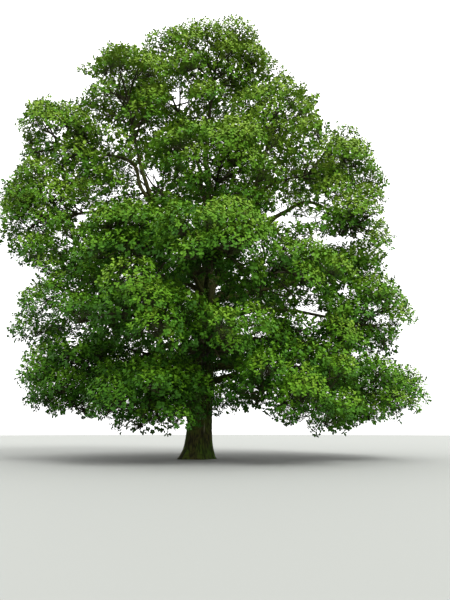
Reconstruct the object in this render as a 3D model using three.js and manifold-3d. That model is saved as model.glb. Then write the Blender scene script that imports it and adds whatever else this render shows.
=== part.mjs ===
// A mature oak that grew in the open: a short thick trunk with a root flare, three leaders, long
// side boughs, and a full crown of separate masses of foliage that comes down almost to the ground.
// Millimetres, +Z up. The origin is the middle of the flat cut at ground level.
// A bearing is an angle about Z: 0 points right (+X), 90 back (+Y), -90 to the front (-Y).

import * as THREE from 'three';
import { mergeVertices } from 'three/addons/utils/BufferGeometryUtils.js';
import Module from 'manifold-3d';

const wasm = await Module();
wasm.setup();

const GAP = 0.35;                                   // clearance where two pieces meet
const GOLDEN_ANGLE = Math.PI * (3 - Math.sqrt(5));
const UP = new THREE.Vector3(0, 0, 1);

// The trunk: its taper to the fork, its lean to the right, and a root flare wider on the left.
const TRUNK = {
  height: 9900,
  footRadius: 700,
  forkRadius: 500,
  lean: 2.6,                                        // degrees
  flareSpread: 330,
  flareHeight: 520,
  flareBias: 0.28,
  buttresses: 5,
  buttressDepth: 0.3,
  shoulder: 700,                                    // the length that rounds in at the fork
  rounding: 0.6,
  sides: 18,
  rings: 12,
  crowding: 1.6,                                    // brings the rings together near the ground
};

// Boughs are thicker the longer they are, and end as thick as the stems that they carry.
const BOUGH = {
  tipRadius: 85,
  leastRadius: 120,
  radiusPerLength: 0.02,
  shareOfParent: 0.78,
  taperPower: 0.85,
  collar: 0.3,                                      // swelling at the root, and how fast it fades
  collarFade: 14,
  leavePull: 0.38,
  arrivePull: 0.3,
  sway: 0.012,                                      // of its length
  swayTurns: 9,
  sides: 6,
  rings: 6,
};

// Foliage: one stem, shoots that branch from it all round, and leaves that each stand for a spray.
const FOLIAGE = {
  wallMargin: 15,                                   // half the space kept between two masses
  limbMargin: 40,                                   // space kept round the limbs
  stemReach: 0.3,
  trunkStemRadius: 150,
  stemTipShare: 0.5,
  rootBack: 0.7,                                    // a shoot's root lies behind its tip
  firstRoot: 0.2,
  lastRoot: 0.95,
  twigRadius: 55,
  twigTipShare: 0.4,
  leafLongest: 0.75,                                // of the mass's size
  leafShortest: 0.25,
  leafStep: 0.92,
  leafWidth: 0.68,                                  // of its length
  leafThickness: 0.25,
  leafSunk: 0.12,
  leafSpread: 55,                                   // degrees between a leaf and its twig
};

// A dense mass has a lumpy core that its leaves stand out of. An airy one is open, with more shoots.
const DENSE = { core: 0.84, lumps: 0.22, shoots: 13, tips: [0.62] };
const AIRY = { core: 0, shoots: 16, tips: [0.35, 0.6] };
const AIRY_MASSES = ['far_left', 'right_tip'];

// Where each mass of leaves sits, and its half sizes: outwards, across and upwards.
const MASSES = [
  { name: 'crown_top', bearing: 18, reach: 900, height: 22700, deep: 5000, wide: 3800, tall: 3100 },
  { name: 'top_left', bearing: -175, reach: 4300, height: 20400, deep: 3900, wide: 4200, tall: 3500 },
  { name: 'top_right', bearing: 3, reach: 4300, height: 19400, deep: 3600, wide: 4100, tall: 3100 },
  { name: 'top_back', bearing: 120, reach: 3300, height: 21700, deep: 3900, wide: 4200, tall: 3200 },
  { name: 'high_left', bearing: -177, reach: 7700, height: 17600, deep: 3600, wide: 3900, tall: 3200 },
  { name: 'high_right', bearing: 0, reach: 7500, height: 16400, deep: 3200, wide: 3900, tall: 3100 },
  { name: 'high_front', bearing: -75, reach: 4400, height: 14500, deep: 3700, wide: 3800, tall: 2400 },
  { name: 'high_back_left', bearing: 126, reach: 5100, height: 16700, deep: 4500, wide: 4500, tall: 3500 },
  { name: 'high_back_right', bearing: 56, reach: 4800, height: 16300, deep: 4300, wide: 4400, tall: 3100 },
  { name: 'far_left', bearing: -175, reach: 8500, height: 13200, deep: 3100, wide: 3300, tall: 2900 },
  { name: 'right_arch', bearing: -5, reach: 8500, height: 12900, deep: 2500, wide: 3500, tall: 2200 },
  { name: 'middle_right', bearing: 5, reach: 8200, height: 10300, deep: 2900, wide: 3900, tall: 2100 },
  { name: 'right_tip', bearing: -1, reach: 8900, height: 7200, deep: 3400, wide: 3700, tall: 2900 },
  { name: 'left', bearing: -170, reach: 6400, height: 8700, deep: 3800, wide: 4200, tall: 3700 },
  { name: 'middle_front_left', bearing: -122, reach: 5500, height: 10500, deep: 3800, wide: 3700, tall: 2600 },
  { name: 'middle_front', bearing: -83, reach: 7000, height: 9400, deep: 3500, wide: 3200, tall: 2200 },
  { name: 'middle_front_right', bearing: -52, reach: 6400, height: 9000, deep: 3500, wide: 3200, tall: 2300 },
  { name: 'middle_back_right', bearing: 42, reach: 6700, height: 10600, deep: 4400, wide: 4700, tall: 3200 },
  { name: 'middle_back', bearing: 92, reach: 6500, height: 10000, deep: 4400, wide: 4700, tall: 3200 },
  { name: 'middle_back_left', bearing: 140, reach: 6400, height: 11400, deep: 4700, wide: 4700, tall: 3400 },
  { name: 'lower_front_left', bearing: -108, reach: 6700, height: 6600, deep: 3700, wide: 3200, tall: 2000 },
  { name: 'lower_front_right', bearing: -32, reach: 5400, height: 5900, deep: 3300, wide: 3600, tall: 2200 },
  { name: 'low_front', bearing: -82, reach: 5200, height: 5600, deep: 4600, wide: 2800, tall: 1600 },
  { name: 'low_left', bearing: -169, reach: 6000, height: 4400, deep: 3500, wide: 4200, tall: 3100 },
  { name: 'low_front_left', bearing: -110, reach: 5200, height: 3100, deep: 3900, wide: 3200, tall: 2200 },
  { name: 'low_front_right', bearing: -48, reach: 6900, height: 3300, deep: 3500, wide: 3300, tall: 2000 },
  { name: 'low_right', bearing: -2, reach: 8300, height: 3600, deep: 4200, wide: 4300, tall: 2600 },
  { name: 'low_back_right', bearing: 40, reach: 6600, height: 5500, deep: 4700, wide: 4400, tall: 3000 },
  { name: 'low_back', bearing: 90, reach: 5300, height: 5400, deep: 5300, wide: 4400, tall: 3000 },
  { name: 'low_back_left', bearing: 138, reach: 6600, height: 5500, deep: 4700, wide: 4400, tall: 3100 },
];

// Each bough: the mass that it carries, what it grows from and where (a height on the trunk, or a
// share of the other bough's length), and how steeply it leaves and arrives, in degrees above level.
const BOUGHS = [
  { carries: 'top_left', from: 'trunk', at: 9300, rise: 55, arrive: 78, name: 'left_leader' },
  { carries: 'crown_top', from: 'trunk', at: 9500, rise: 84, arrive: 82, name: 'centre_leader' },
  { carries: 'top_right', from: 'trunk', at: 9100, rise: 48, arrive: 76, name: 'right_leader' },
  { carries: 'top_back', from: 'centre_leader', at: 0.4, rise: 60, arrive: 60 },
  { carries: 'high_left', from: 'left_leader', at: 0.55, rise: 30, arrive: 12 },
  { carries: 'high_right', from: 'right_leader', at: 0.45, rise: 40, arrive: 15 },
  { carries: 'high_front', from: 'centre_leader', at: 0.22, rise: 40, arrive: 15 },
  { carries: 'high_back_left', from: 'left_leader', at: 0.4, rise: 40, arrive: 30 },
  { carries: 'high_back_right', from: 'right_leader', at: 0.32, rise: 45, arrive: 25 },
  { carries: 'far_left', from: 'left_leader', at: 0.28, rise: 25, arrive: -8 },
  { carries: 'right_arch', from: 'right_leader', at: 0.3, rise: 40, arrive: -32 },
  { carries: 'middle_right', from: 'trunk', at: 8500, rise: 8, arrive: 12 },
  { carries: 'right_tip', from: 'trunk', at: 7500, rise: 12, arrive: -12 },
  { carries: 'left', from: 'trunk', at: 7000, rise: 14, arrive: 10 },
  { carries: 'middle_front_left', from: 'trunk', at: 8700, rise: 35, arrive: 10 },
  { carries: 'middle_front', from: 'trunk', at: 8000, rise: 30, arrive: 0 },
  { carries: 'middle_front_right', from: 'trunk', at: 7700, rise: 30, arrive: 5 },
  { carries: 'middle_back_right', from: 'trunk', at: 8200, rise: 35, arrive: 12 },
  { carries: 'middle_back', from: 'trunk', at: 7600, rise: 35, arrive: 12 },
  { carries: 'middle_back_left', from: 'trunk', at: 8600, rise: 38, arrive: 15 },
  { carries: 'lower_front_left', from: 'trunk', at: 6100, rise: 25, arrive: -5 },
  { carries: 'lower_front_right', from: 'trunk', at: 5900, rise: 22, arrive: -8 },
  { carries: 'low_left', from: 'trunk', at: 4500, rise: 20, arrive: -15 },
  { carries: 'low_front_left', from: 'trunk', at: 4000, rise: 20, arrive: -20 },
  { carries: 'low_front_right', from: 'trunk', at: 3700, rise: 20, arrive: -15 },
  { carries: 'low_right', from: 'trunk', at: 4700, rise: 15, arrive: -15 },
  { carries: 'low_back_right', from: 'trunk', at: 5200, rise: 20, arrive: -10 },
  { carries: 'low_back_left', from: 'trunk', at: 5400, rise: 20, arrive: -10 },
];
const TRUNK_BORNE = { low_front: 4900, low_back: 4600 };   // masses whose stems meet the trunk

// Seen from the eye's place in front, sky shows through the crown at these ellipses, which are
// measured on the upright plane through the trunk.
const EYE = new THREE.Vector3(1440, -34000, 1600);
const SKY = [
  { x: 5700, z: 13150, wide: 1500, tall: 700 },
  { x: 7400, z: 12000, wide: 1100, tall: 500 },
  { x: -6800, z: 13300, wide: 900, tall: 700 },
  { x: -7900, z: 12300, wide: 1100, tall: 700 },
  { x: -2900, z: 15700, wide: 800, tall: 900 },
  { x: -1400, z: 20700, wide: 700, tall: 800 },
];

const radians = THREE.MathUtils.degToRad;
const massNamed = (name) => MASSES.find((mass) => mass.name === name);

// Repeatable random numbers from 0 to 1, with a row of its own for each seed.
function seeded(seed) {
  let state = seed * 7919;
  return () => {
    state = (Math.imul(state, 1664525) + 1013904223) >>> 0;
    return state / 2 ** 32;
  };
}

// A closed geometry as an exact solid for joining and cutting.
function solidOf(geometry) {
  geometry.deleteAttribute('normal');
  geometry.deleteAttribute('uv');
  const merged = mergeVertices(geometry, 1e-3);
  return new wasm.Manifold(new wasm.Mesh({
    numProp: 3,
    vertProperties: Float32Array.from(merged.attributes.position.array),
    triVerts: Uint32Array.from(merged.index.array),
  }));
}

// Moves every vertex of a geometry by a function of its old place.
function reshape(geometry, place) {
  const position = geometry.attributes.position;
  const vertex = new THREE.Vector3();
  for (let i = 0; i < position.count; i += 1) {
    place(vertex.fromBufferAttribute(position, i));
    position.setXYZ(i, vertex.x, vertex.y, vertex.z);
  }
  return geometry;
}

// The biggest body of a solid: loose scraps are dropped and sealed hollows filled.
function mainBody(solid) {
  const bodies = solid.decompose();
  return bodies.reduce((best, body) => (body.volume() > best.volume() ? body : best));
}

function trunkCentre(height) {
  return new THREE.Vector3(height * Math.tan(radians(TRUNK.lean)), 0, height);
}

function trunkRadius(height, angle) {
  const taper = THREE.MathUtils.lerp(TRUNK.footRadius, TRUNK.forkRadius, height / TRUNK.height);
  const lobes = 1 + TRUNK.buttressDepth * Math.cos(TRUNK.buttresses * angle);
  const side = 1 - TRUNK.flareBias * Math.cos(angle);
  const flare = TRUNK.flareSpread * lobes * side * Math.exp(-height / TRUNK.flareHeight);
  const into = Math.max(0, (height - TRUNK.height + TRUNK.shoulder) / TRUNK.shoulder);
  return (taper + flare) * Math.sqrt(1 - TRUNK.rounding * into * into);
}

function trunkSolid(grow) {
  const column = new THREE.CylinderGeometry(1, 1, 1, TRUNK.sides, TRUNK.rings);
  return solidOf(reshape(column, (vertex) => {
    const level = vertex.y + 0.5;
    const height = TRUNK.height * level ** TRUNK.crowding;
    const angle = Math.atan2(-vertex.z, vertex.x);
    const radius = Math.hypot(vertex.x, vertex.z) * (trunkRadius(height, angle) + grow);
    vertex.set(radius * Math.cos(angle), radius * Math.sin(angle), 0).add(trunkCentre(height));
  }));
}

// Each mass gets its centre, its own axes and flat walls midway to the masses it would run into.
function placeMasses() {
  for (const mass of MASSES) {
    const turn = radians(mass.bearing);
    mass.outwards = new THREE.Vector3(Math.cos(turn), Math.sin(turn), 0);
    mass.across = new THREE.Vector3(-Math.sin(turn), Math.cos(turn), 0);
    mass.centre = mass.outwards.clone().multiplyScalar(mass.reach).setZ(mass.height);
    mass.size = Math.cbrt(mass.deep * mass.wide * mass.tall);
    mass.walls = [];
  }
  for (const mass of MASSES) {
    for (const other of MASSES.filter((neighbour) => neighbour !== mass)) {
      const normal = other.centre.clone().sub(mass.centre);
      const apart = normal.length();
      normal.normalize();
      const overlap = extent(mass, normal) + extent(other, normal) - apart;
      if (overlap > -2 * FOLIAGE.wallMargin) {
        const distance = extent(mass, normal) - overlap / 2 - FOLIAGE.wallMargin;
        mass.walls.push({ normal, distance });
      }
    }
  }
}

// How far the mass's ellipsoid reaches along a direction, to the plane that touches it.
function extent(mass, direction) {
  return Math.hypot(
    mass.deep * direction.dot(mass.outwards),
    mass.wide * direction.dot(mass.across),
    mass.tall * direction.z,
  );
}

// How far a straight line runs inside the mass's space, from its centre along a direction.
function spaceAlong(mass, direction) {
  const round = 1 / Math.hypot(
    direction.dot(mass.outwards) / mass.deep,
    direction.dot(mass.across) / mass.wide,
    direction.z / mass.tall,
  );
  return mass.walls.reduce((least, wall) => {
    const towards = direction.dot(wall.normal);
    return towards > 0 ? Math.min(least, wall.distance / towards) : least;
  }, round);
}

function insideSpace(mass, point) {
  const offset = point.clone().sub(mass.centre);
  const far = offset.length();
  return far <= spaceAlong(mass, offset.normalize());
}

// Whether the line of sight from the eye through a point ends in one of the sky openings.
function showsSky(point) {
  const ratio = -EYE.y / (point.y - EYE.y);
  const x = EYE.x + (point.x - EYE.x) * ratio;
  const z = EYE.z + (point.z - EYE.z) * ratio;
  return SKY.some((gap) => Math.hypot((x - gap.x) / gap.wide, (z - gap.z) / gap.tall) < 1);
}

// Gives a bough its centreline and radius, and the mass that it carries its foot and heading.
function routeBough(bough, limbs) {
  const mass = massNamed(bough.carries);
  const parent = limbs.get(bough.from);
  const start = parent.curve ? parent.curve.getPoint(bough.at) : trunkCentre(bough.at);
  const parentRadius = parent.curve ? boughRadius(parent, bough.at) : trunkRadius(bough.at, 0);
  const level = mass.centre.clone().sub(start).setZ(0).normalize();
  const slope = (degrees) => level.clone().multiplyScalar(Math.cos(radians(degrees)))
    .addScaledVector(UP, Math.sin(radians(degrees)));
  const leave = slope(bough.rise);
  const arrive = slope(bough.arrive);
  const back = spaceAlong(mass, arrive.clone().negate());
  const end = mass.centre.clone().addScaledVector(arrive, -back);
  const length = end.distanceTo(start);
  bough.curve = new THREE.CubicBezierCurve3(
    start,
    start.clone().addScaledVector(leave, BOUGH.leavePull * length),
    end.clone().addScaledVector(arrive, -BOUGH.arrivePull * length),
    end,
  );
  bough.length = length;
  bough.footRadius = Math.min(
    BOUGH.leastRadius + BOUGH.radiusPerLength * length,
    BOUGH.shareOfParent * parentRadius,
  );
  mass.foot = end.clone().addScaledVector(arrive, GAP);
  mass.forward = arrive;
  mass.stemRadius = BOUGH.tipRadius;
}

function boughRadius(bough, share) {
  const taper = THREE.MathUtils.lerp(bough.footRadius, BOUGH.tipRadius, share ** BOUGH.taperPower);
  return taper * (1 + BOUGH.collar * Math.exp(-share * BOUGH.collarFade));
}

// A tapering limb: a unit cylinder bent along the bough's centreline, with a slight sway.
function boughSolid(bough, grow) {
  const frames = bough.curve.computeFrenetFrames(BOUGH.rings);
  const sway = BOUGH.sway * bough.length;
  const rod = new THREE.CylinderGeometry(1, 1, 1, BOUGH.sides, BOUGH.rings);
  return solidOf(reshape(rod, (vertex) => {
    const share = 0.5 - vertex.y;
    const ring = Math.round(share * BOUGH.rings);
    const radius = boughRadius(bough, share) + grow;
    const bend = Math.sin(share * Math.PI) * Math.sin(share * BOUGH.swayTurns + bough.length);
    const lengthen = grow * ((ring === BOUGH.rings) - (ring === 0));
    const { x, z } = vertex;
    vertex.copy(bough.curve.getPoint(share))
      .addScaledVector(frames.tangents[ring], lengthen)
      .addScaledVector(frames.normals[ring], x * radius + sway * bend)
      .addScaledVector(frames.binormals[ring], z * radius);
  }));
}

// A straight three-sided twig from one point to another, that tapers to a share of its radius.
function twigSolid(from, to, radius, tipShare) {
  const length = from.distanceTo(to);
  const rod = new THREE.CylinderGeometry(radius * tipShare, radius, length, 3, 1);
  rod.translate(0, length / 2, 0);
  const turn = new THREE.Quaternion().setFromUnitVectors(
    new THREE.Vector3(0, 1, 0),
    to.clone().sub(from).normalize(),
  );
  rod.applyQuaternion(turn).translate(from.x, from.y, from.z);
  return solidOf(rod);
}

// One leaf of eight faces, pointed at both ends, that starts a little inside its twig.
function leafGeometry(root, along, normal, length) {
  const side = new THREE.Vector3().crossVectors(normal, along).normalize();
  const top = new THREE.Vector3().crossVectors(along, side);
  const basis = new THREE.Matrix4().makeBasis(
    along.clone().multiplyScalar(length / 2),
    side.multiplyScalar(length * FOLIAGE.leafWidth / 2),
    top.multiplyScalar(length * FOLIAGE.leafThickness / 2),
  );
  basis.setPosition(root.clone().addScaledVector(along, length * (0.5 - FOLIAGE.leafSunk)));
  return new THREE.OctahedronGeometry(1, 0).applyMatrix4(basis);
}

// Whether every corner of a leaf is inside the mass's space and clear of the sky openings.
function leafFits(mass, leaf) {
  const position = leaf.attributes.position;
  const corner = new THREE.Vector3();
  for (let i = 0; i < position.count; i += 1) {
    corner.fromBufferAttribute(position, i);
    if (!insideSpace(mass, corner) || showsSky(corner)) {
      return false;
    }
  }
  return true;
}

// The longest leaf that fits at a place, or none.
function fittedLeaf(mass, root, along, normal) {
  let length = FOLIAGE.leafLongest * mass.size;
  while (length > FOLIAGE.leafShortest * mass.size) {
    const leaf = leafGeometry(root, along, normal, length);
    if (leafFits(mass, leaf)) {
      return solidOf(leaf);
    }
    length *= FOLIAGE.leafStep;
  }
  return null;
}

function perpendicular(direction) {
  const side = new THREE.Vector3().crossVectors(direction, UP);
  return side.lengthSq() > 0.01 ? side.normalize() : side.set(1, 0, 0);
}

// The core of a dense mass: a lumpy ball that fills the middle of its space, clear of the limbs.
function coreSolid(mass, habit, limbs, random) {
  const sphere = new THREE.IcosahedronGeometry(1, 1).deleteAttribute('normal').deleteAttribute('uv');
  const ball = solidOf(reshape(mergeVertices(sphere), (vertex) => {
    const direction = vertex.clone().normalize();
    const share = habit.core * (1 - habit.lumps * random());
    vertex.copy(mass.centre).addScaledVector(direction, share * spaceAlong(mass, direction));
  }));
  return mainBody(limbs.reduce((left, limb) => left.subtract(limb.grown), ball));
}

// The stem that carries a mass, from its bough's tip or from the trunk's face.
function stemSolid(mass, heart, trunk) {
  const stem = twigSolid(mass.foot, heart, mass.stemRadius, FOLIAGE.stemTipShare);
  return mass.trunkBorne ? mainBody(stem.subtract(trunk.seat)) : stem;
}

// The direction of one of a mass's shoots, which leave it evenly to all sides in a spiral.
function shootDirection(mass, index, shoots, phase) {
  const rise = 1 - (2 * index + 1) / shoots;
  const ring = Math.sqrt(1 - rise * rise);
  const angle = index * GOLDEN_ANGLE + phase;
  return mass.outwards.clone().multiplyScalar(mass.deep * ring * Math.cos(angle))
    .addScaledVector(mass.across, mass.wide * ring * Math.sin(angle))
    .addScaledVector(UP, mass.tall * rise)
    .normalize();
}

// A mass of leaves, grown by rule. A shoot or leaf that would touch a limb is skipped.
function foliageSolid(mass, index, limbs) {
  const random = seeded(index + 1);
  const habit = AIRY_MASSES.includes(mass.name) ? AIRY : DENSE;
  const touches = (solid) => limbs.some((limb) => solid.intersect(limb.grown).volume() > 0);
  const ahead = FOLIAGE.stemReach * spaceAlong(mass, mass.forward);
  const heart = mass.centre.clone().addScaledVector(mass.forward, ahead);
  const stemLength = heart.distanceTo(mass.foot);

  let solid = stemSolid(mass, heart, limbs[0]);
  if (habit.core > 0) {
    solid = solid.add(coreSolid(mass, habit, limbs, random));
  }
  for (let i = 0; i < habit.shoots; i += 1) {
    const direction = shootDirection(mass, i, habit.shoots, index);
    const tipShare = habit.tips[i % habit.tips.length];
    const tip = mass.centre.clone().addScaledVector(direction, tipShare * spaceAlong(mass, direction));
    const along = FOLIAGE.rootBack * tip.clone().sub(mass.foot).dot(mass.forward) / stemLength;
    const rootShare = THREE.MathUtils.clamp(along, FOLIAGE.firstRoot, FOLIAGE.lastRoot);
    const root = mass.foot.clone().lerp(heart, rootShare);
    const twig = twigSolid(root, tip, FOLIAGE.twigRadius, FOLIAGE.twigTipShare);
    if (touches(twig)) {
      continue;
    }
    solid = solid.add(twig);
    const sideways = perpendicular(direction).applyAxisAngle(direction, 2 * Math.PI * random());
    const tilt = radians(FOLIAGE.leafSpread * random());
    const leafAxis = direction.clone().applyAxisAngle(sideways, tilt);
    const normal = perpendicular(leafAxis).applyAxisAngle(leafAxis, Math.PI * random());
    const leaf = fittedLeaf(mass, tip, leafAxis, normal);
    if (leaf && !touches(leaf)) {
      solid = solid.add(leaf);
    }
  }
  return mainBody(solid);
}

function meshOf(name, solid, material) {
  const { vertProperties, triVerts } = solid.getMesh();
  const geometry = new THREE.BufferGeometry();
  geometry.setAttribute('position', new THREE.BufferAttribute(vertProperties, 3));
  geometry.setIndex(new THREE.BufferAttribute(triVerts, 1));
  geometry.computeVertexNormals();
  const mesh = new THREE.Mesh(geometry, material);
  mesh.name = name;
  return mesh;
}

function bark() {
  return new THREE.MeshStandardMaterial({ color: 0x54483a, roughness: 0.95, metalness: 0 });
}

function leafGreen() {
  return new THREE.MeshStandardMaterial({ color: 0x66862f, roughness: 0.6, metalness: 0 });
}

placeMasses();
const group = new THREE.Group();

const limbs = new Map();
limbs.set('trunk', {
  name: 'trunk',
  solid: trunkSolid(0),
  seat: trunkSolid(GAP),
  grown: trunkSolid(FOLIAGE.limbMargin),
});

for (const bough of BOUGHS) {
  routeBough(bough, limbs);
  bough.name = bough.name ?? `${bough.carries}_bough`;
  let solid = boughSolid(bough, 0);
  for (const limb of limbs.values()) {
    solid = solid.subtract(limb.seat);
  }
  bough.solid = mainBody(solid);
  bough.seat = boughSolid(bough, GAP);
  bough.grown = boughSolid(bough, FOLIAGE.limbMargin);
  limbs.set(bough.name, bough);
}

for (const [name, height] of Object.entries(TRUNK_BORNE)) {
  const mass = massNamed(name);
  mass.trunkBorne = true;
  mass.foot = trunkCentre(height);
  mass.forward = mass.centre.clone().sub(mass.foot).normalize();
  mass.stemRadius = FOLIAGE.trunkStemRadius;
}

for (const limb of limbs.values()) {
  group.add(meshOf(limb.name, limb.solid, bark()));
}
MASSES.forEach((mass, index) => {
  const solid = foliageSolid(mass, index, [...limbs.values()]);
  group.add(meshOf(`${mass.name}_foliage`, solid, leafGreen()));
});

export default group;
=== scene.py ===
# %% [markdown]
# # A mature oak that grew in the open
# A tree that stands alone has light on every side, so its crown is full all round and comes down
# almost to the ground. The frame holds the trunk and its limbs as plain solids, and one simple solid
# for each mass of leaves. Here each limb gets a skin of furrowed bark, and each mass is grown again
# as shoots, twigs and sprays of leaves, by the rule that grew the plain solids.

# %% Load the frame
import math

import bmesh
import bpy
import numpy as np
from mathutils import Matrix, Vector, noise


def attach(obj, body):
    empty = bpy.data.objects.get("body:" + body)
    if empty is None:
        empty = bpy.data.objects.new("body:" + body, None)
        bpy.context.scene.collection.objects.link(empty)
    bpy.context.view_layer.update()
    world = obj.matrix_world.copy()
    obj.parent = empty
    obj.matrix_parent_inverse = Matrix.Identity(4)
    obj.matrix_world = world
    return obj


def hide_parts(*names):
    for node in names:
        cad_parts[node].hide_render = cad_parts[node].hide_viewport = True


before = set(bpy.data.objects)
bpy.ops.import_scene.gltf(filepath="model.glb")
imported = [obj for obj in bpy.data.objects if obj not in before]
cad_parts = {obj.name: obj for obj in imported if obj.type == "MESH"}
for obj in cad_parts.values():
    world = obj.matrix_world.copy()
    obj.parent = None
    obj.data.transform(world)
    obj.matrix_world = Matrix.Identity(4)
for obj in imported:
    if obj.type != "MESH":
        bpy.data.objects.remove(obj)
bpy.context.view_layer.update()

# %% [markdown]
# ## Camera
# The eye is a standing person's, 34 m in front of the trunk and a little to its right, and looks up
# into the crown. The lens follows from the picture's focal length in pixels, so that a metre at the
# trunk covers as many pixels here as it does there.

# %% Set up the camera
EYE = Vector((1.44, -34.0, 1.6))          # metres
TILT_UP = math.radians(11.6)
FOCAL_PIXELS = 623
LONG_SIDE_PIXELS = 600
SENSOR = 36.0                             # millimetres, along the picture's longer side
FARTHEST_SEEN = 500                       # metres


def link(thing):
    """Puts an object in the scene and hands it back."""
    bpy.context.collection.objects.link(thing)
    return thing


lens = bpy.data.cameras.new("eye_level")
lens.sensor_width = SENSOR
lens.lens = SENSOR * FOCAL_PIXELS / LONG_SIDE_PIXELS
lens.clip_end = FARTHEST_SEEN
camera = link(bpy.data.objects.new("eye_level", lens))
camera.location = EYE
camera.rotation_euler = (math.pi / 2 + TILT_UP, 0, 0)
bpy.context.scene.camera = camera
print("lens in millimetres:", round(lens.lens, 1))

# %% [markdown]
# ## Colours and shader nodes
# Colours are written as sRGB hex numbers, as a paint program shows them, and the shader wants linear
# light, so one function turns them. Another adds any shader node with its settings and links, which
# keeps each material short enough to read as a recipe.

# %% Helpers for materials
def linear(colour):
    """The linear colour of an sRGB hex number, with an alpha of one."""
    channels = [(colour >> shift & 255) / 255 for shift in (16, 8, 0)]
    return [c / 12.92 if c <= 0.04045 else ((c + 0.055) / 1.055) ** 2.4 for c in channels] + [1.0]


def new_material(name):
    """A material with no nodes yet, and its node tree."""
    material = bpy.data.materials.new(name)
    material.use_nodes = True
    material.node_tree.nodes.clear()
    return material, material.node_tree


def add_node(tree, kind, inputs=None, **settings):
    """Adds a node. Each input is a plain value, or the output socket that is linked to it."""
    node = tree.nodes.new(kind)
    for name, value in settings.items():
        setattr(node, name, value)
    for name, value in (inputs or {}).items():
        socket = next(s for s in node.inputs if s.enabled and s.name == name)
        if isinstance(value, bpy.types.NodeSocket):
            tree.links.new(value, socket)
        else:
            socket.default_value = value
    return node


# %% [markdown]
# ## Floor and light
# A plain pale floor shows where the trunk stands and takes the crown's soft shadow. The light is an
# overcast noon: a white sky that is nearly twice as bright overhead as at the horizon, as cloud is,
# and a broad brighter patch of it high in front and on the right. So the tops of the leaves are
# light, and the hollows under them dark.

# %% Floor, sky and sun
FLOOR_RADIUS = 120.0                      # metres
FLOOR_SIDES = 96
FLOOR_COLOUR = 0x858783
HORIZON_STRENGTH = 1.4
OVERHEAD_STRENGTH = 2.4
SUN_STRENGTH = 3.1
SUN_SPREAD = math.radians(28)
SUN_TURN = (math.radians(37), math.radians(30), 0)


def matt_floor():
    """Smooth painted floor: pale, with no gloss that would mirror the trunk."""
    material, tree = new_material("pale_matt_floor")
    paint = add_node(tree, "ShaderNodeBsdfPrincipled", {
        "Base Color": linear(FLOOR_COLOUR), "Roughness": 0.9,
    })
    add_node(tree, "ShaderNodeOutputMaterial", {"Surface": paint.outputs["BSDF"]})
    return material


disc = bmesh.new()
bmesh.ops.create_circle(disc, cap_ends=True, segments=FLOOR_SIDES, radius=FLOOR_RADIUS)
floor_mesh = bpy.data.meshes.new("floor")
disc.to_mesh(floor_mesh)
disc.free()
floor_mesh.materials.append(matt_floor())
link(bpy.data.objects.new("floor", floor_mesh))

sky = bpy.data.worlds.new("overcast_sky")
sky.use_nodes = True
heading = add_node(sky.node_tree, "ShaderNodeTexCoord").outputs["Object"]
height = add_node(sky.node_tree, "ShaderNodeSeparateXYZ", {"Vector": heading}).outputs["Z"]
glow = add_node(sky.node_tree, "ShaderNodeMapRange", {
    "Value": height, "To Min": HORIZON_STRENGTH, "To Max": OVERHEAD_STRENGTH,
})
cloud = sky.node_tree.nodes["Background"]
cloud.inputs["Color"].default_value = (1, 1, 1, 1)
sky.node_tree.links.new(glow.outputs["Result"], cloud.inputs["Strength"])
bpy.context.scene.world = sky
bpy.context.scene.view_settings.view_transform = "Standard"

sun = bpy.data.lights.new("bright_patch", "SUN")
sun.energy = SUN_STRENGTH
sun.angle = SUN_SPREAD
sun_object = link(bpy.data.objects.new("bright_patch", sun))
sun_object.rotation_euler = SUN_TURN
print("floor, sky and sun are in place")

# %% [markdown]
# ## Masses of leaves and their space
# The crown is 30 masses, each an ellipsoid round its own centre that faces away from the trunk. Flat
# walls midway to its neighbours keep each mass to its own space. These are the same few numbers as in
# the plain solids' source, in metres, because the leaves have to fill the same spaces.

# %% Masses
UP = np.array((0.0, 0.0, 1.0))
GOLDEN_ANGLE = math.pi * (3 - math.sqrt(5))
WALL_MARGIN = 0.015                       # metres that a mass keeps from each wall
NEARLY_NOTHING = 1e-9                     # in place of 0 or less in a division

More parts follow.
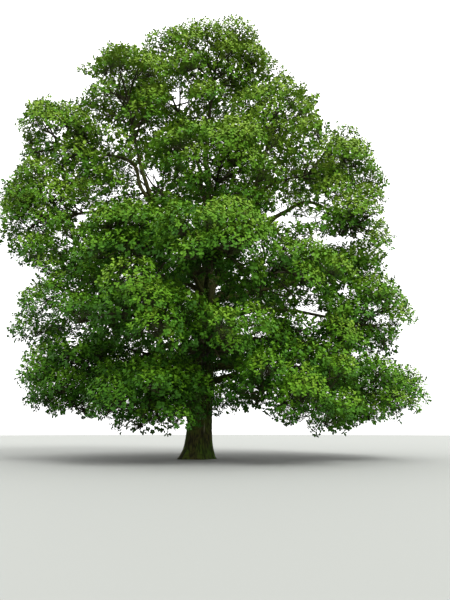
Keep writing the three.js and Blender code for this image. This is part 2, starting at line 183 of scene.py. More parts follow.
# Bearing in degrees, distance from the trunk's axis, height, half sizes outwards, across and up.
MASS_ROWS = {
    "crown_top": (18, 0.9, 22.7, 5.0, 3.8, 3.1),
    "top_left": (-175, 4.3, 20.4, 3.9, 4.2, 3.5),
    "top_right": (3, 4.3, 19.4, 3.6, 4.1, 3.1),
    "top_back": (120, 3.3, 21.7, 3.9, 4.2, 3.2),
    "high_left": (-177, 7.7, 17.6, 3.6, 3.9, 3.2),
    "high_right": (0, 7.5, 16.4, 3.2, 3.9, 3.1),
    "high_front": (-75, 4.4, 14.5, 3.7, 3.8, 2.4),
    "high_back_left": (126, 5.1, 16.7, 4.5, 4.5, 3.5),
    "high_back_right": (56, 4.8, 16.3, 4.3, 4.4, 3.1),
    "far_left": (-175, 8.5, 13.2, 3.1, 3.3, 2.9),
    "right_arch": (-5, 8.5, 12.9, 2.5, 3.5, 2.2),
    "middle_right": (5, 8.2, 10.3, 2.9, 3.9, 2.1),
    "right_tip": (-1, 8.9, 7.2, 3.4, 3.7, 2.9),
    "left": (-170, 6.4, 8.7, 3.8, 4.2, 3.7),
    "middle_front_left": (-122, 5.5, 10.5, 3.8, 3.7, 2.6),
    "middle_front": (-83, 7.0, 9.4, 3.5, 3.2, 2.2),
    "middle_front_right": (-52, 6.4, 9.0, 3.5, 3.2, 2.3),
    "middle_back_right": (42, 6.7, 10.6, 4.4, 4.7, 3.2),
    "middle_back": (92, 6.5, 10.0, 4.4, 4.7, 3.2),
    "middle_back_left": (140, 6.4, 11.4, 4.7, 4.7, 3.4),
    "lower_front_left": (-108, 6.7, 6.6, 3.7, 3.2, 2.0),
    "lower_front_right": (-32, 5.4, 5.9, 3.3, 3.6, 2.2),
    "low_front": (-82, 5.2, 5.6, 4.6, 2.8, 1.6),
    "low_left": (-169, 6.0, 4.4, 3.5, 4.2, 3.1),
    "low_front_left": (-110, 5.2, 3.1, 3.9, 3.2, 2.2),
    "low_front_right": (-48, 6.9, 3.3, 3.5, 3.3, 2.0),
    "low_right": (-2, 8.3, 3.6, 4.2, 4.3, 2.6),
    "low_back_right": (40, 6.6, 5.5, 4.7, 4.4, 3.0),
    "low_back": (90, 5.3, 5.4, 5.3, 4.4, 3.0),
    "low_back_left": (138, 6.6, 5.5, 4.7, 4.4, 3.1),
}
AIRY_MASSES = ("far_left", "right_tip")


# %% A mass and its own space
def unit(vectors):
    """Vectors, one or many, at a length of one."""
    return vectors / np.linalg.norm(vectors, axis=-1, keepdims=True)


class Mass:
    """One mass of leaves: its centre, its own axes, its half sizes and the walls of its space."""

    def __init__(self, number, name, row):
        bearing, reach, height, *half_sizes = row
        turn = math.radians(bearing)
        self.number = number
        self.name = name
        self.axes = np.array((
            (math.cos(turn), math.sin(turn), 0),
            (-math.sin(turn), math.cos(turn), 0),
            (0, 0, 1),
        ))
        self.half_sizes = np.array(half_sizes)
        self.centre = self.axes[0] * reach + UP * height

    def extent(self, direction):
        """How far the ellipsoid reaches along a direction, to the plane that touches it."""
        return np.linalg.norm(self.half_sizes * (self.axes @ direction))

    def round_reach(self, directions):
        """How far straight lines from the centre run inside the ellipsoid."""
        return 1 / np.linalg.norm(directions @ self.axes.T / self.half_sizes, axis=-1)

    def wall_reach(self, directions):
        """How far straight lines from the centre run to the nearest wall."""
        normals, distances = self.walls
        return (distances / np.maximum(directions @ normals.T, NEARLY_NOTHING)).min(axis=-1)

    def space_along(self, directions):
        """How far straight lines from the centre run inside the mass's own space."""
        return np.minimum(self.round_reach(directions), self.wall_reach(directions))

    def past_walls(self, points):
        """How far each point lies past the wall that it passes most, less than 0 if it is inside."""
        normals, distances = self.walls
        return ((points - self.centre) @ normals.T - distances).max(axis=-1)


# %% Set the walls between the masses
masses = {name: Mass(number, name, row) for number, (name, row) in enumerate(MASS_ROWS.items())}
for mass in masses.values():
    normals, distances = [], []
    for other in masses.values():
        if other is mass:
            continue
        apart = other.centre - mass.centre
        normal = unit(apart)
        overlap = mass.extent(normal) + other.extent(normal) - np.linalg.norm(apart)
        if overlap > -2 * WALL_MARGIN:
            normals.append(normal)
            distances.append(mass.extent(normal) - overlap / 2 - WALL_MARGIN)
    mass.walls = (np.array(normals), np.array(distances))
print("masses:", len(masses), "walls:", sum(len(mass.walls[1]) for mass in masses.values()) // 2)

# %% [markdown]
# ## Where the sky shows
# From the eye, the sky shows through the crown in places. The larger openings are ellipses on the
# upright plane through the trunk. No leaf grows on a line of sight that ends in one of them, while
# the limbs cross them freely, dark against the light, as they do on the real tree. The crown's
# outline is no smooth dome either: larger ellipses round its edge are notches that keep leaves out
# of the gaps between one great bough's leaves and the next.

# %% Sky openings and notches
# Place to the right of the trunk's foot, height, and half sizes across and up, in metres.
SKY_OPENINGS = np.array((
    (4.9, 13.1, 0.8, 0.6),
    (6.2, 13.2, 0.7, 0.4),
    (7.7, 11.95, 1.1, 0.4),
    (-6.8, 13.3, 0.7, 0.5),
    (-7.9, 12.3, 0.5, 0.35),
    (-2.9, 15.7, 0.8, 0.9),
    (-1.4, 20.7, 0.7, 0.8),
    (-3.7, 10.5, 0.35, 0.25),
    (-0.7, 13.0, 0.3, 0.25),
    (0.8, 9.1, 0.45, 0.35),
    (-4.5, 8.4, 0.2, 0.2),
    (-1.8, 7.7, 0.35, 0.25),
    (-6.8, 6.1, 0.5, 0.3),
    (-4.2, 5.1, 0.4, 0.25),
    (-2.9, 5.5, 0.4, 0.25),
    (8.2, 9.0, 0.35, 0.45),
    (3.2, 6.4, 0.8, 0.3),
    (8.6, 5.4, 0.35, 0.25),
    (5.4, 4.9, 0.4, 0.25),
    (1.7, 4.4, 0.7, 0.25),
))
NOTCHES = np.array((
    (-7.1, 24.5, 1.4, 1.9),
    (-8.3, 21.7, 2.0, 1.2),
    (-11.4, 20.5, 1.2, 1.7),
    (-11.8, 17.5, 1.6, 2.4),
    (-12.4, 12.9, 1.2, 3.4),
    (-3.0, 26.2, 2.8, 1.0),
    (7.5, 23.3, 2.9, 2.7),
    (7.6, 20.3, 1.0, 1.3),
    (10.9, 17.7, 1.1, 2.1),
    (11.7, 13.6, 1.2, 2.6),
    (11.7, 10.7, 1.4, 1.7),
    (-11.3, 9.0, 1.5, 2.8),
    (12.3, 6.0, 1.8, 1.0),
    (12.7, 8.2, 1.1, 1.6),
))


def sky_distance(points, openings):
    """How far each point's line of sight ends from the nearest opening: 1 is on its edge."""
    eye = np.array(EYE)
    ratio = -eye[1] / (points[:, 1] - eye[1])
    seen = eye + (points - eye) * ratio[:, None]
    places = seen[:, None, (0, 2)] - openings[:, :2]
    return np.linalg.norm(places / openings[:, 2:], axis=-1).min(axis=1)


def clear_of_sky(points, opening_edge, notch_edge):
    """Whether each point keeps at least these distances from the openings and the notches."""
    return ((sky_distance(points, SKY_OPENINGS) > opening_edge)
            & (sky_distance(points, NOTCHES) > notch_edge))


print("sky openings:", len(SKY_OPENINGS), "notches:", len(NOTCHES))

# %% [markdown]
# ## Trunk and boughs as curves
# The trunk tapers to its fork, leans a little to the right and spreads into a root flare. A bough is
# one cubic curve from its parent to the edge of the mass that it carries, thicker at a collar where
# it leaves. Both repeat the plain solids' formulas, so each skin of bark lies where its solid is.
# No limb of an oak is so smooth, so further on each one also wanders a little off its curve.

# %% The trunk's centre and radius
TRUNK_HEIGHT = 9.9                        # metres, as the other lengths here
FOOT_RADIUS = 0.7
FORK_RADIUS = 0.5
LEAN = math.radians(2.6)
FLARE_SPREAD = 0.33                       # more radius, at the ground
FLARE_HEIGHT = 0.52                       # over which it fades
FLARE_BIAS = 0.28                         # more flare on the left
BUTTRESSES = 5
BUTTRESS_DEPTH = 0.3                      # of the flare
SHOULDER = 0.7                            # the length that rounds in at the fork
ROUNDING = 0.6                            # how far it rounds in: 1 is to a point


def trunk_centre(height):
    """The middle of the trunk at a height."""
    return np.array((height * math.tan(LEAN), 0, height))


def trunk_radius(height, angle):
    """The trunk's radius at a height and an angle round it."""
    taper = FOOT_RADIUS + (FORK_RADIUS - FOOT_RADIUS) * height / TRUNK_HEIGHT
    lobes = 1 + BUTTRESS_DEPTH * math.cos(BUTTRESSES * angle)
    side = 1 - FLARE_BIAS * math.cos(angle)
    flare = FLARE_SPREAD * lobes * side * math.exp(-height / FLARE_HEIGHT)
    into = max(0, (height - TRUNK_HEIGHT + SHOULDER) / SHOULDER)
    return (taper + flare) * math.sqrt(1 - ROUNDING * into ** 2)


# %% Sizes and places of the boughs
TIP_RADIUS = 0.085                        # metres
LEAST_RADIUS = 0.12                       # at its foot, before its length is counted
RADIUS_PER_LENGTH = 0.02                  # what each metre of its length adds
SHARE_OF_PARENT = 0.78                    # of its parent's radius, at most
TAPER_POWER = 0.85
COLLAR = 0.3                              # of the foot's radius, on top of it
COLLAR_FADE = 14
LEAVE_PULL = 0.38                         # of its length, for which it keeps its first heading
ARRIVE_PULL = 0.3
SWAY = 0.012                              # of its length
SWAY_TURNS = 9                            # radians, from foot to tip
MILLIMETRES = 1000                        # in a metre

# The mass that a bough carries, what it grows from, where, how steeply it leaves and arrives in
# degrees above level, and its name where it is a leader. The place is a height on the trunk, or a
# share of the other bough's length.
BOUGH_ROWS = (
    ("top_left", "trunk", 9.3, 55, 78, "left_leader"),
    ("crown_top", "trunk", 9.5, 84, 82, "centre_leader"),
    ("top_right", "trunk", 9.1, 48, 76, "right_leader"),
    ("top_back", "centre_leader", 0.4, 60, 60),
    ("high_left", "left_leader", 0.55, 30, 12),
    ("high_right", "right_leader", 0.45, 40, 15),
    ("high_front", "centre_leader", 0.22, 40, 15),
    ("high_back_left", "left_leader", 0.4, 40, 30),
    ("high_back_right", "right_leader", 0.32, 45, 25),
    ("far_left", "left_leader", 0.28, 25, -8),
    ("right_arch", "right_leader", 0.3, 40, -32),
    ("middle_right", "trunk", 8.5, 8, 12),
    ("right_tip", "trunk", 7.5, 12, -12),
    ("left", "trunk", 7.0, 14, 10),
    ("middle_front_left", "trunk", 8.7, 35, 10),
    ("middle_front", "trunk", 8.0, 30, 0),
    ("middle_front_right", "trunk", 7.7, 30, 5),
    ("middle_back_right", "trunk", 8.2, 35, 12),
    ("middle_back", "trunk", 7.6, 35, 12),
    ("middle_back_left", "trunk", 8.6, 38, 15),
    ("lower_front_left", "trunk", 6.1, 25, -5),
    ("lower_front_right", "trunk", 5.9, 22, -8),
    ("low_left", "trunk", 4.5, 20, -15),
    ("low_front_left", "trunk", 4.0, 20, -20),
    ("low_front_right", "trunk", 3.7, 20, -15),
    ("low_right", "trunk", 4.7, 15, -15),
    ("low_back_right", "trunk", 5.2, 20, -10),
    ("low_back_left", "trunk", 5.4, 20, -10),
)
TRUNK_BORNE = {"low_front": 4.9, "low_back": 4.6}
TRUNK_STEM_RADIUS = 0.15


# %% Points and headings on curves
def curve_points(curves, share):
    """Points on cubic curves, each given by its four corners, at one share or at many."""
    share = np.asarray(share, float)
    rest = 1 - share
    weights = (rest ** 3, 3 * rest ** 2 * share, 3 * rest * share ** 2, share ** 3)
    return np.stack(weights, axis=-1) @ curves


def curve_headings(curves, share):
    """Unit directions along cubic curves at one share or at many."""
    share = np.asarray(share, float)
    rest = 1 - share
    weights = (-rest ** 2, rest ** 2 - 2 * rest * share, 2 * rest * share - share ** 2, share ** 2)
    return unit(np.stack(weights, axis=-1) @ curves)


# %% One bough
def carry(mass, foot, forward, stem_radius):
    """Notes where a mass's stem starts, which way it heads and how thick it is."""
    mass.foot = foot
    mass.forward = forward
    mass.stem_radius = stem_radius


class Bough:
    """One limb: its centre line and its taper. It also gives its mass a foot."""

    def __init__(self, limbs, carries, grows_from, at, rise, arrive, name=None):
        mass = masses[carries]
        self.name = name or f"{carries}_bough"
        if grows_from == "trunk":
            start = trunk_centre(at)
            parent_radius = trunk_radius(at, 0)
        else:
            start = curve_points(limbs[grows_from].curve, at)
            parent_radius = limbs[grows_from].radius(at)
        level = unit((mass.centre - start) * (1, 1, 0))
        leave, reach_out = (
            level * math.cos(math.radians(slope)) + UP * math.sin(math.radians(slope))
            for slope in (rise, arrive)
        )
        end = mass.centre - reach_out * mass.space_along(-reach_out)
        self.length = np.linalg.norm(end - start)
        self.curve = np.array((
            start,
            start + leave * LEAVE_PULL * self.length,
            end - reach_out * ARRIVE_PULL * self.length,
            end,
        ))
        thickness = LEAST_RADIUS + RADIUS_PER_LENGTH * self.length
        self.foot_radius = min(thickness, SHARE_OF_PARENT * parent_radius)
        carry(mass, end, reach_out, TIP_RADIUS)

    def radius(self, share):
        """The limb's radius at a share of its length."""
        taper = self.foot_radius + (TIP_RADIUS - self.foot_radius) * share ** TAPER_POWER
        return taper * (1 + COLLAR * math.exp(-share * COLLAR_FADE))


# %% Every bough
boughs = {}
for row in BOUGH_ROWS:
    bough = Bough(boughs, *row)
    boughs[bough.name] = bough
for name, height in TRUNK_BORNE.items():
    foot = trunk_centre(height)
    carry(masses[name], foot, unit(masses[name].centre - foot), TRUNK_STEM_RADIUS)
print("boughs:", len(boughs), "longest in metres:", round(max(b.length for b in boughs.values()), 1))

# %% [markdown]
# ## Bark
# Oak bark is a cork skin that splits into upright plates as the trunk thickens. The furrows between
# them wander, join and part. Noise that is stretched along the limb does the same: its zero lines
# are the furrows. The relief is made in the mesh, and how deep each point lies is kept as an
# attribute, so that the material can paint shade into the furrows, over the darker deep bark. On thin
# limbs the relief is finer.

# %% Relief of the bark
FURROW_SPACING = 0.1                      # metres, as the other lengths here
PLATE_LENGTH = 0.6
CRACK_SPACING = 0.22
FURROW_DEPTH = 0.03
FURROW_WIDTH = 0.2                        # as noise value, so wider where the noise is flat
FURROW_EDGE = 0.7                         # below 1 a furrow has steeper rims and a wider floor
WANDER_RATE = 2                           # steps of noise per metre across the limb
CRACK_STRETCH = 4                         # spacings of furrows that a level crack runs on for
CRACK_PART = 2                            # times narrower and shallower than a furrow
FULL_RELIEF_RADIUS = 0.5                  # thinner limbs have shallower, closer furrows
LEAST_RELIEF = 0.3


def furrow_at(around, along, seed, scale):
    """How deep a point of the bark lies, from 0 on a plate to 1 in a furrow."""
    wander = noise.noise((seed, along / PLATE_LENGTH, around.x * WANDER_RATE)) * FURROW_SPACING
    x, y = (around.x + wander) / FURROW_SPACING, around.y / FURROW_SPACING
    upright = abs(noise.noise((x / scale + seed, y / scale, along / PLATE_LENGTH / scale)))
    level = abs(noise.noise((
        x / CRACK_STRETCH, y / CRACK_STRETCH + seed, along / CRACK_SPACING / scale,
    )))
    furrow = max(0, 1 - upright / FURROW_WIDTH)
    crack = max(0, 1 - level / FURROW_WIDTH * CRACK_PART) / CRACK_PART
    return max(furrow, crack) ** FURROW_EDGE


# %% [markdown]
# The bark is a brown that is painted darker and olive for the crown's shade and the green light from
# its leaves. It is duller or paler from plate to plate, and nearly black in the furrows, where painted
# shade lies over the darker deep bark.
# Algae green it in patches, most of all near the damp foot. Grit that is too small for the mesh is a
# bump. On the front is a narrow pale scar, where a strip of bark has come off. Young wood, as on
# twigs, is smoother and has no furrows.

# %% Bark materials
# The plates' two browns are darkened and tinted olive: painted shade of the crown and painted green
# light from its leaves.
PLATE_COLOUR_WITH_PAINTED_SHADE = 0x333310
WEATHERED_COLOUR_WITH_PAINTED_SHADE = 0x43421B
# Nearly black in the furrows: the darker deep bark, with painted shade added.
FURROW_COLOUR_WITH_PAINTED_SHADE = 0x17150A
ALGAE_COLOUR = 0x39560A
SCAR_COLOUR = 0x74735A
YOUNG_BARK_COLOUR = 0x211E12
COLOUR_MIX = 2                            # number of the mix node's output for colours
ALGAE_MM = 800                            # size of a green patch
PLATE_MM = 250                            # of a plate with a tone of its own
GRIT_MM = 30
ALGAE_TOP = 5.0                           # metres up, where they are fewest


def oak_bark():
    """Old oak bark: dry cork plates, matt and rough, split by shadowed furrows."""
    material, tree = new_material("furrowed_oak_bark")
    place = add_node(tree, "ShaderNodeTexCoord").outputs["Object"]
    height = add_node(tree, "ShaderNodeSeparateXYZ", {"Vector": place}).outputs["Z"]
    furrow = add_node(tree, "ShaderNodeAttribute", attribute_name="furrow")
    scar = add_node(tree, "ShaderNodeAttribute", attribute_name="scar")
    tones = add_node(tree, "ShaderNodeTexNoise", {"Vector": place, "Scale": MILLIMETRES / PLATE_MM})
    grit = add_node(tree, "ShaderNodeTexNoise", {
        "Vector": place, "Scale": MILLIMETRES / GRIT_MM, "Detail": 3,
    })
    patches = add_node(tree, "ShaderNodeTexNoise", {
        "Vector": place, "Scale": MILLIMETRES / ALGAE_MM, "Detail": 4,
    })
    damp = add_node(tree, "ShaderNodeMapRange", {
        "Value": height, "From Max": ALGAE_TOP, "To Min": 1.0, "To Max": 0.35,
    })
    algae = add_node(tree, "ShaderNodeMapRange", {
        "Value": patches.outputs["Fac"], "From Min": 0.4, "From Max": 0.65,
        "To Max": damp.outputs["Result"],
    })
    # The plates' colour carries painted shade and green light of the crown.
    colour = linear(PLATE_COLOUR_WITH_PAINTED_SHADE)
    for cover, over in (
        (tones.outputs["Fac"], WEATHERED_COLOUR_WITH_PAINTED_SHADE),
        (algae.outputs["Result"], ALGAE_COLOUR),
        # Furrows get painted shade over the darker deep bark.
        (furrow.outputs["Fac"], FURROW_COLOUR_WITH_PAINTED_SHADE),
        (scar.outputs["Fac"], SCAR_COLOUR),
    ):
        layer = add_node(tree, "ShaderNodeMix", {
            "Factor": cover, "A": colour, "B": linear(over),
        }, data_type="RGBA")
        colour = layer.outputs[COLOUR_MIX]
    bump = add_node(tree, "ShaderNodeBump", {
        "Height": grit.outputs["Fac"], "Strength": 0.6, "Distance": 0.01,
    })
    cork = add_node(tree, "ShaderNodeBsdfPrincipled", {
        "Base Color": colour, "Roughness": 0.92, "IOR": 1.45, "Specular IOR Level": 0.25,
        "Normal": bump.outputs["Normal"],
    })
    add_node(tree, "ShaderNodeOutputMaterial", {"Surface": cork.outputs["BSDF"]})
    return material


def young_bark():
    """Bark of twigs: thin and smooth, a dull brown with greener stretches."""
    material, tree = new_material("young_oak_bark")
    place = add_node(tree, "ShaderNodeTexCoord").outputs["Object"]
    stretches = add_node(tree, "ShaderNodeTexNoise", {
        "Vector": place, "Scale": MILLIMETRES / PLATE_MM,
    })
    # The paler tone is the plates' colour, with the same painted shade and green light.
    colour = add_node(tree, "ShaderNodeMix", {
        "Factor": stretches.outputs["Fac"], "A": linear(YOUNG_BARK_COLOUR), "B": linear(PLATE_COLOUR_WITH_PAINTED_SHADE),
    }, data_type="RGBA")
    skin = add_node(tree, "ShaderNodeBsdfPrincipled", {
        "Base Color": colour.outputs[COLOUR_MIX], "Roughness": 0.75, "IOR": 1.45,
        "Specular IOR Level": 0.3,
    })
    add_node(tree, "ShaderNodeOutputMaterial", {"Surface": skin.outputs["BSDF"]})
    return material


old_bark = oak_bark()
twig_bark = young_bark()
print("materials of bark:", old_bark.name, twig_bark.name)

# %% [markdown]
# The trunk starts as a column cut into rings. Each corner moves to its place round the trunk's
# centre line, less the depth of its furrow. The rings crowd towards the ground, where the flare
# bends most, and the flat foot stays at ground level.

# %% A column, and a skin of bark made from it
def unit_column(sides, rings):
    """A closed upright column of radius and height one, with its side cut into rings."""
    column = bmesh.new()
    bmesh.ops.create_cone(column, cap_ends=True, segments=sides, radius1=1, radius2=1, depth=1)
    bmesh.ops.translate(column, verts=column.verts, vec=(0, 0, 0.5))
    uprights = [edge for edge in column.edges if abs(edge.verts[0].co.z - edge.verts[1].co.z) > 0.5]
    bmesh.ops.subdivide_edges(column, edges=uprights, cuts=rings - 1)
    return column


def mesh_piece(mesh, node):
    """Makes a mesh into a piece that rides on the tree and stands for its node."""
    piece = link(bpy.data.objects.new(mesh.name, mesh))
    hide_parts(node)
    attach(piece, "root")


def bark_piece(name, shape, node):
    """Makes a bmesh into a limb's skin of bark."""
    mesh = bpy.data.meshes.new(name)
    shape.to_mesh(mesh)
    shape.free()
    mesh.materials.append(old_bark)
    mesh_piece(mesh, node)


# %% Trunk
TRUNK_SIDES = 220
TRUNK_RINGS = 165
CROWDING = 1.6                            # power that draws the rings together near the ground
CROWN_OF_FORK = 0.25                      # metres that the top's middle stands above its rim
FOOT_NORMAL = -0.99                       # faces that look down more than this are the flat foot
SCAR_PLACE = (0.28, 1.6)                  # metres right of the trunk's middle, and up
SCAR_SIZE = (0.035, 0.34)                 # half its width and half its height
SCAR_EDGE = 1.5                           # higher gives it a harder edge


def scar_at(corner, height):
    """How bare of bark a point of the trunk is, from 0 to 1."""
    across = corner.co.x - trunk_centre(height)[0] - SCAR_PLACE[0]
    away = math.hypot(across / SCAR_SIZE[0], (height - SCAR_PLACE[1]) / SCAR_SIZE[1])
    return min(1, max(0, SCAR_EDGE - SCAR_EDGE * away)) if corner.co.y < 0 else 0


trunk = unit_column(TRUNK_SIDES, TRUNK_RINGS)
depth_layer = trunk.verts.layers.float.new("furrow")
scar_layer = trunk.verts.layers.float.new("scar")
for corner in trunk.verts:
    height = TRUNK_HEIGHT * corner.co.z ** CROWDING
    angle = math.atan2(corner.co.y, corner.co.x)
    around = Vector((math.cos(angle), math.sin(angle), 0)) * FOOT_RADIUS
    furrow = furrow_at(around, height, seed=0, scale=1)
    corner[depth_layer] = furrow
    radius = trunk_radius(height, angle) - FURROW_DEPTH * furrow
    corner.co = Vector(trunk_centre(height)) + Vector((math.cos(angle), math.sin(angle), 0)) * radius
    corner[scar_layer] = scar_at(corner, height)
top_face = max(trunk.faces, key=lambda face: face.calc_center_median().z)
bmesh.ops.poke(trunk, faces=[top_face], offset=CROWN_OF_FORK)
for face in trunk.faces:
    face.smooth = face.normal.z > FOOT_NORMAL
bark_piece("trunk_bark", trunk, "trunk")
print("trunk faces:", len(bpy.data.meshes["trunk_bark"].polygons))

# %% [markdown]
# A bough is the same column, bent along its curve. At each ring a frame of two directions is carried
# along the curve without twisting, and the ring is laid out in it. The slight sway of the plain
# solid is repeated, and the limb's own crooked way is added to it.

# %% Boughs' bark
BOUGH_SIDES = 48
BOUGH_RINGS = 90
CROOK = 0.22                              # metres, about the most that it wanders off its curve
CROOK_LENGTH = 1.3                        # metres along it from one bend to the next, roughly
CROOK_PLANES = (0.0, 9.3, 18.6)           # of the noise: one for each of the wander's three axes
TIE_DIGITS = 6                            # headings that agree so far count as equal


def first_side(heading):
    """A direction square to a heading, from the axis most nearly square to it, the last of equals."""
    axis = Vector((0, 0, 0))
    least = min(range(3), key=lambda i: (round(abs(heading[i]), TIE_DIGITS), -i))
    axis[least] = 1
    return (heading * heading.dot(axis) - axis).normalized()


def rings_along(bough):
    """Each ring's centre and the two directions that it lies in."""
    rings = []
    old_heading = None
    for ring in range(BOUGH_RINGS + 1):
        share = ring / BOUGH_RINGS
        heading = Vector(curve_headings(bough.curve, share))
        if old_heading is None:
            side = first_side(heading)
        else:
            side = old_heading.rotation_difference(heading) @ side
        over = heading.cross(side)
        free = math.sin(share * math.pi)
        bend = free * math.sin(share * SWAY_TURNS + bough.length * MILLIMETRES)
        centre = Vector(curve_points(bough.curve, share)) + side * SWAY * bough.length * bend
        place = (share * bough.length / CROOK_LENGTH, bough.length)
        crook = Vector([noise.noise((*place, plane)) for plane in CROOK_PLANES])
        rings.append((centre + crook * CROOK * free, side, over))
        old_heading = heading
    return rings


def bough_bark(number, bough):
    """A limb's skin of bark, furrowed along its length."""
    limb = unit_column(BOUGH_SIDES, BOUGH_RINGS)
    layer = limb.verts.layers.float.new("furrow")
    rings = rings_along(bough)
    scale = max(LEAST_RELIEF, min(1, bough.foot_radius / FULL_RELIEF_RADIUS))
    for corner in limb.verts:
        share = corner.co.z
        x, y = corner.co.x, corner.co.y
        around = Vector((x, y, 0)) * bough.foot_radius
        furrow = furrow_at(around, share * bough.length, seed=number, scale=math.sqrt(scale))
        corner[layer] = furrow
        centre, side, over = rings[round(share * BOUGH_RINGS)]
        radius = bough.radius(share) - FURROW_DEPTH * scale * furrow
        corner.co = centre + (side * x + over * y) * radius
    for face in limb.faces:
        face.smooth = True
    bark_piece(f"{bough.name}_bark", limb, bough.name)


for number, bough in enumerate(boughs.values(), start=1):
    bough_bark(number, bough)
print("boughs with bark:", len(boughs))

# %% [markdown]
# ## Many small things as arrays
# A crown has thousands of twigs and over two hundred thousand leaves. One object each would choke
# Blender, so a small template is modelled once with bmesh, read out as two arrays, and copied by
# array arithmetic into two meshes for each mass, one of twigs and one of leaves.

# %% Templates and joined meshes
NEARLY_UPRIGHT = 0.1                      # sine of the angle to upright
MERGE_DISTANCE = 1e-4                     # metres


def template_of(shape):
    """A bmesh as an array of corners and an array of triangles."""
    bmesh.ops.triangulate(shape, faces=shape.faces)
    shape.verts.index_update()
    corners = np.array([corner.co[:] for corner in shape.verts])
    triangles = np.array([[corner.index for corner in face.verts] for face in shape.faces])
    shape.free()
    return corners, triangles


def joined(parts):
    """Joins templates' copies, given as corners and triangles, into one pair of arrays."""
    corners, triangles = [], []
    start = 0
    for part_corners, part_triangles in parts:
        corners.append(part_corners)
        triangles.append(part_triangles + start)
        start += len(part_corners)
    return np.concatenate(corners), np.concatenate(triangles)


def array_piece(name, corners, triangles, materials, numbers, slot, node):
    """Makes arrays into a piece, with the number of its material for each triangle or for all."""
    mesh = bpy.data.meshes.new(name)
    mesh.vertices.add(len(corners))
    mesh.vertices.foreach_set("co", corners.astype(np.float32).ravel())
    mesh.loops.add(triangles.size)
    mesh.loops.foreach_set("vertex_index", triangles.astype(np.int32).ravel())
    mesh.polygons.add(len(triangles))
    mesh.polygons.foreach_set("loop_start", np.arange(0, triangles.size, 3, dtype=np.int32))
    numbers = np.broadcast_to(numbers, len(triangles)).astype(np.int32)
    mesh.polygons.foreach_set("material_index", numbers)
    for material in materials:
        mesh.materials.append(material)
    mesh.update(calc_edges=True)
    mesh_piece(mesh, node)


def square_to(directions):
    """For each direction, one that is square to it and level where it can be."""
    level = np.cross(directions, UP)
    level[np.linalg.norm(level, axis=-1) < NEARLY_UPRIGHT] = (1, 0, 0)
    return unit(level - directions * (level * directions).sum(axis=-1, keepdims=True))


def bent_rods(template, curves, foot_radius, tip_radius):
    """Bends a copy of a unit rod along each curve, with a taper from foot to tip."""
    corners, triangles = template
    share = corners[:, 2]
    centres = curve_points(curves, share)
    headings = curve_headings(curves, share)
    side = square_to(unit(curves[:, 3] - curves[:, 0]))[:, None]
    side = unit(side - headings * (side * headings).sum(axis=-1, keepdims=True))
    over = np.cross(headings, side)
    radius = np.reshape(foot_radius, (-1, 1)) * (1 - share) + np.reshape(tip_radius, (-1, 1)) * share
    offset = corners[:, :1] * side + corners[:, 1:2] * over
    placed = centres + offset * radius[..., None]
    starts = np.arange(len(curves)) * len(corners)
    return placed.reshape(-1, 3), (triangles + starts[:, None, None]).reshape(-1, 3)


def pointed_rod(sides):
    """A unit rod that ends in a point, for the thinnest twigs."""
    rod = bmesh.new()
    bmesh.ops.create_cone(rod, cap_ends=True, segments=sides, radius1=1, radius2=0, depth=1)
    bmesh.ops.translate(rod, verts=rod.verts, vec=(0, 0, 0.5))
    bmesh.ops.remove_doubles(rod, verts=rod.verts, dist=MERGE_DISTANCE)
    return template_of(rod)


stem_rod = template_of(unit_column(sides=8, rings=8))
shoot_rod = template_of(unit_column(sides=6, rings=5))
branchlet_rod = template_of(unit_column(sides=4, rings=3))
twig_point = pointed_rod(sides=3)
rods = (shoot_rod, branchlet_rod, twig_point)
print("triangles in a shoot, branchlet and twig:", *(len(triangles) for _, triangles in rods))

# %% [markdown]
# ## Leaves and sprays
# An oak leaf is narrow at its foot and widest beyond its middle, with rounded lobes that stand
# alternately. Its outline is drawn as six corners with one lobe and one bay on each side, the lobes
# are folded up and the tip droops: four triangles. Real leaves are 10 to 12 cm long. Here they are
# larger, as far as their number needs. Oaks hold their leaves in tufts at the twigs' ends, so a few
# sprays are made and every twig gets a copy of one.

# %% One leaf and six sprays
LEAF_LENGTH = 0.175                       # metres
LEAF_SIZE = (0.75, 1.1)                   # of that length
LEAF_OUTLINE = ((0, 0), (0.36, 0.38), (0.25, 0.62), (0.12, 1), (-0.4, 0.74), (-0.26, 0.42))
LEAF_FOLD = 0.3                           # how steeply its sides rise from the midrib
LEAF_DROOP = 0.16                         # of its length, at the tip
LEAVES_PER_SPRAY = 7
SPRAY_KINDS = 6
SPRAY_LENGTH = 0.16                       # metres
FIRST_SPREAD = math.radians(95)           # between the lowest leaf and the twig
LAST_SPREAD = math.radians(40)
SPREAD_SCATTER = 0.2                      # radians
TURN_SCATTER = 0.3
LEAF_ROLL = math.radians(20)


def oak_leaf():
    """A leaf of length one along +Y, with its upper side up, as corners and triangles."""
    leaf = bmesh.new()
    leaf.faces.new([
        leaf.verts.new((x, y, LEAF_FOLD * abs(x) - LEAF_DROOP * y ** 2)) for x, y in LEAF_OUTLINE
    ])
    return template_of(leaf)


